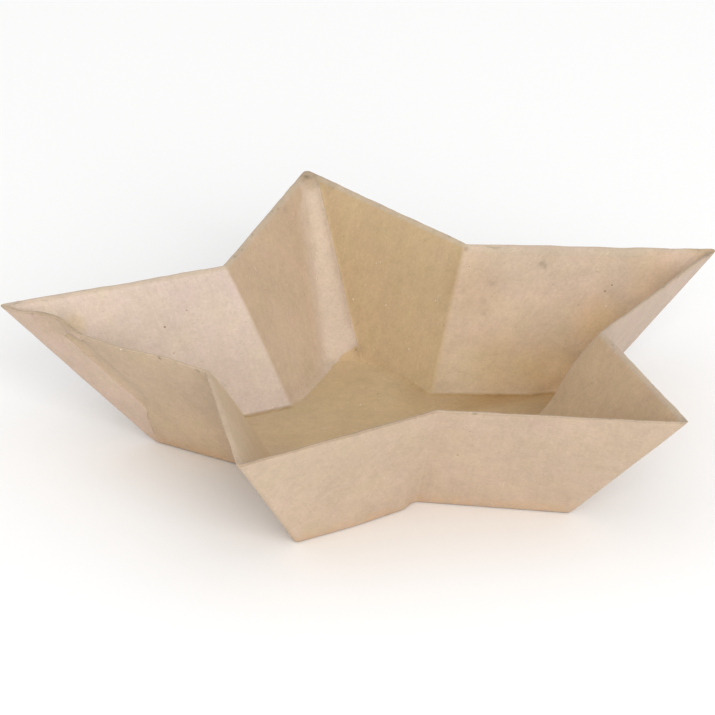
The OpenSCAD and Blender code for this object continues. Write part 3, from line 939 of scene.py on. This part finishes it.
    # Matt all over, a little smoother where paste dried on the strips
    rough = 0.86 + grain * 0.12 - strip * on_wall * 0.06 - rim_line * 0.04
    feed(tree, shader.inputs["Roughness"], rough)
    shader.inputs["Specular IOR Level"].default_value = 0.28
    shader.inputs["Sheen Weight"].default_value = 0.06
    shader.inputs["Sheen Roughness"].default_value = 0.6

    # Relief in mm: grain, pressed fibres, crumple and specks
    crumple = noise(at + (14.0, 2.0, 8.0), 2.6, detail=3.0, roughness=0.6) - 0.5
    relief = grain * 0.055 + (pale_fibres - dark_fibres) * 0.018 + crumple * 0.12 - dark_specks * 0.02
    bump = at.node("ShaderNodeBump", {"Strength": 1.0, "Distance": MM, "Height": relief}, output="Normal")
    feed(tree, shader.inputs["Normal"], bump)
    return paper


mottle = paper_mottle_group()
kraft = kraft_paper_material()

plan_object, section_object = plan_points(), section_points()
star_tree, star_inputs = shell_tree()
tray = made_mesh("tray_shell", star_tree, star_inputs, {
    "Plan": plan_object, "Section": section_object, "Paper": kraft,
})
bpy.data.objects.remove(plan_object)
bpy.data.objects.remove(section_object)
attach(tray, "root")
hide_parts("tray")

# ---------------------------------------------------------------------------
# Loose fibres and flecks in the paper
# Short pale fibres, dark flecks of bark and pale flecks of unbeaten pulp stand a little out of the sheet.
# Each is a tiny closed shape laid flat on the tray's surface, scattered or where the paper shows one.


def spindle(name, rings, sides, flat):
    """A small closed tube through rings of (x, y, radius), pressed flat, with pointed ends."""
    points, faces = [(rings[0][0] - rings[0][2], rings[0][1], 0)], []
    for x, y, radius in rings:
        for k in range(sides):
            turn = 2 * math.pi * k / sides
            points.append((x, y + radius * math.cos(turn), radius * math.sin(turn) * flat))
    points.append((rings[-1][0] + rings[-1][2], rings[-1][1], 0))
    for k in range(sides):
        after = (k + 1) % sides
        faces.append((0, 1 + after, 1 + k))
        for j in range(len(rings) - 1):
            a, b = 1 + j * sides, 1 + (j + 1) * sides
            faces.append((a + k, a + after, b + after, b + k))
        end = 1 + (len(rings) - 1) * sides
        faces.append((end + k, end + after, len(points) - 1))
    mesh = bpy.data.meshes.new(name)
    mesh.from_pydata(points, [], faces)
    thing = bpy.data.objects.new(name, mesh)
    bpy.context.scene.collection.objects.link(thing)
    return thing


def scatter_tree():
    """Lays copies of a small shape flat on a surface: scattered over it, and at chosen marks."""
    tree = bpy.data.node_groups.new("laid_on_paper", "GeometryNodeTree")
    tree.interface.new_socket("Bits", in_out="OUTPUT", socket_type="NodeSocketGeometry")
    inputs, given = named_inputs(tree, (
        ("Surface", "NodeSocketObject", None),
        ("Marks", "NodeSocketObject", None),
        ("Shape", "NodeSocketObject", None),
        ("Bits per m2", "NodeSocketFloat", 2000.0),
        ("Smallest", "NodeSocketFloat", 0.3),
        ("Largest", "NodeSocketFloat", 0.5),
        ("Seed", "NodeSocketInt", 1),
        ("Finish", "NodeSocketMaterial", None),
    ))
    outlet = tree.nodes.new("NodeGroupOutput")
    place_node = given["Seed"].node

    def seen(label):
        return place_node("GeometryNodeObjectInfo", {"Object": given[label]}, output="Geometry")

    def random(low, high, extra):
        """An even random number: inputs 2, 3 and 8 are its lowest, its highest and the seed."""
        values = {2: low, 3: high, 8: given["Seed"] + extra}
        return place_node("FunctionNodeRandomValue", values, output=1, data_type="FLOAT")

    surface = seen("Surface")
    values = {"Mesh": surface, "Density": given["Bits per m2"], "Seed": given["Seed"]}
    strewn = place_node(
        "GeometryNodeDistributePointsOnFaces", values, output="Points", distribute_method="RANDOM",
    )
    values = {"Geometry": strewn, "Name": "size", "Value": random(given["Smallest"], given["Largest"], 1.0)}
    strewn = place_node("GeometryNodeStoreNamedAttribute", values, data_type="FLOAT", domain="POINT")
    marks = place_node("GeometryNodeMeshToPoints", {"Mesh": seen("Marks")})
    bits = place_node("GeometryNodeJoinGeometry")
    for points in (strewn, marks):
        tree.links.new(points.socket, bits.socket.node.inputs[0])
    position = place_node("GeometryNodeInputPosition")
    values = {"Geometry": surface, "Source Position": position}
    near = place_node("GeometryNodeProximity", values, output="Position", target_element="FACES")
    bits = place_node("GeometryNodeSetPosition", {"Geometry": bits, "Position": near})
    values = {"Mesh": surface, "Value": place_node("GeometryNodeInputNormal"), "Sample Position": position}
    facing = place_node("GeometryNodeSampleNearestSurface", values, data_type="FLOAT_VECTOR")
    upright = place_node("FunctionNodeAlignRotationToVector", {"Vector": facing}, axis="Z")
    full_turn = 6.283
    values = {"Axis": (0, 0, 1), "Angle": random(0.0, full_turn, 2.0)}
    spin = place_node("FunctionNodeAxisAngleToRotation", values)
    turned = place_node("FunctionNodeRotateRotation", {0: upright, 1: spin}, rotation_space="LOCAL")
    size = place_node("GeometryNodeInputNamedAttribute", {"Name": "size"}, data_type="FLOAT") * MM
    scale = join(size, size * random(0.7, 1.2, 3.0), size)
    values = {"Points": bits, "Instance": seen("Shape"), "Rotation": turned, "Scale": scale}
    bits = place_node("GeometryNodeInstanceOnPoints", values)
    bits = place_node("GeometryNodeRealizeInstances", {"Geometry": bits})
    bits = place_node("GeometryNodeSetShadeSmooth", {"Geometry": bits, "Shade Smooth": True})
    bits = place_node("GeometryNodeSetMaterial", {"Geometry": bits, "Material": given["Finish"]})
    feed(tree, outlet.inputs["Bits"], bits)
    return tree, inputs


def bit_material(name, tone, roughness):
    """The finish of the loose bits: one tone, clouded as the paper round it."""
    finish = bpy.data.materials.new(name)
    finish.use_nodes = True
    tree = finish.node_tree
    shader = tree.nodes["Principled BSDF"]
    at = Field(tree, tree.nodes.new("ShaderNodeTexCoord").outputs["Object"]).scaled(1 / MM)
    values = {"At": at, "Tone": (*tone, 1), "Cloud": 0.4, "Drift": 0.2, "Grain": 0.5}
    mottled = at.node("ShaderNodeGroup", values, output="Color", node_tree=mottle)
    grain = Field(tree, mottled.socket.node.outputs["Grain height"])
    feed(tree, shader.inputs["Base Color"], mottled)
    feed(tree, shader.inputs["Roughness"], grain * 0.2 + roughness)
    values = {"Strength": 1.0, "Distance": MM, "Height": grain * 0.02}
    bump = at.node("ShaderNodeBump", values, output="Normal")
    feed(tree, shader.inputs["Normal"], bump)
    shader.inputs["Specular IOR Level"].default_value = 0.25
    return finish


# Flecks that the paper shows: place in mm and size in mm
PALE_MARKS = [
    ((-1.3, 102.5, 30.1), 0.5), ((-3.1, 94.5, 24.0), 0.6), ((7.5, 83.7, 19.4), 0.7),
    ((16.4, 70.7, 21.8), 0.6), ((20.4, 52.5, 12.3), 0.6), ((15.9, 83.8, 32.5), 0.4),
    ((-92.5, 2.8, 45.5), 0.9), ((87.5, 36.3, 29.2), 0.5), ((-3.8, 78.8, 10.2), 0.5),
    ((-1.5, 81.1, 11.3), 0.4),
]
DARK_MARKS = [
    ((-28.4, 66.1, 34.0), 0.6), ((-19.6, 74.8, 29.4), 0.6), ((-27.2, 63.6, 29.9), 0.5),
    ((5.7, 71.0, 5.3), 0.7), ((6.0, 39.1, 2.4), 0.9), ((8.0, 64.0, 3.1), 0.5),
    ((25.8, 52.4, 20.3), 0.4), ((-68.9, 43.4, 33.7), 0.9), ((-60.2, 47.8, 37.3), 0.6),
    ((-66.7, 39.0, 25.5), 0.6), ((90.4, 39.5, 35.6), 0.8), ((87.7, 38.9, 33.8), 0.9),
    ((8.6, -64.5, 26.0), 0.8),
]
# Both shapes are about 1 mm long, and are scaled to their size where they are laid
FIBRE_SHAPE = spindle(
    "fibre_shape",
    [
        (-0.5, 0.0, 0.012), (-0.3, 0.07, 0.022), (-0.05, 0.10, 0.025),
        (0.2, 0.05, 0.024), (0.5, -0.06, 0.012),
    ],
    sides=4, flat=0.8,
)
FLECK_SHAPE = spindle(
    "fleck_shape",
    [(-0.38, 0.03, 0.15), (-0.12, -0.04, 0.36), (0.16, 0.05, 0.33), (0.40, -0.02, 0.13)],
    sides=6, flat=0.3,
)


def mark_points(name, marks):
    """The chosen marks as loose points that hold their size."""
    points = [Vector(place) * MM for place, _ in marks]
    return point_cloud(name, points, floats=[("size", [size for _, size in marks])])


bits_tree, bits_inputs = scatter_tree()
# Each kind: shape, marks, bits per m2, smallest and largest size in mm, seed, tone and roughness
for name, shape, marks, per_m2, smallest, largest, seed, tone, roughness in (
    ("pale_fibres", FIBRE_SHAPE, [], 4200.0, 1.2, 3.2, 3, (0.62, 0.50, 0.38), 0.7),
    ("dark_flecks", FLECK_SHAPE, DARK_MARKS, 2200.0, 0.22, 0.5, 8, (0.30, 0.22, 0.15), 0.8),
    ("pale_flecks", FLECK_SHAPE, PALE_MARKS, 900.0, 0.22, 0.5, 21, (0.85, 0.78, 0.66), 0.6),
):
    mark_object = mark_points(name + "_marks", marks)
    bits = made_mesh(name, bits_tree, bits_inputs, {
        "Surface": tray, "Marks": mark_object, "Shape": shape, "Bits per m2": per_m2,
        "Smallest": smallest, "Largest": largest, "Seed": seed,
        "Finish": bit_material(name, tone, roughness),
    })
    bpy.data.objects.remove(mark_object)
    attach(bits, "root")
bpy.data.objects.remove(FIBRE_SHAPE)
bpy.data.objects.remove(FLECK_SHAPE)
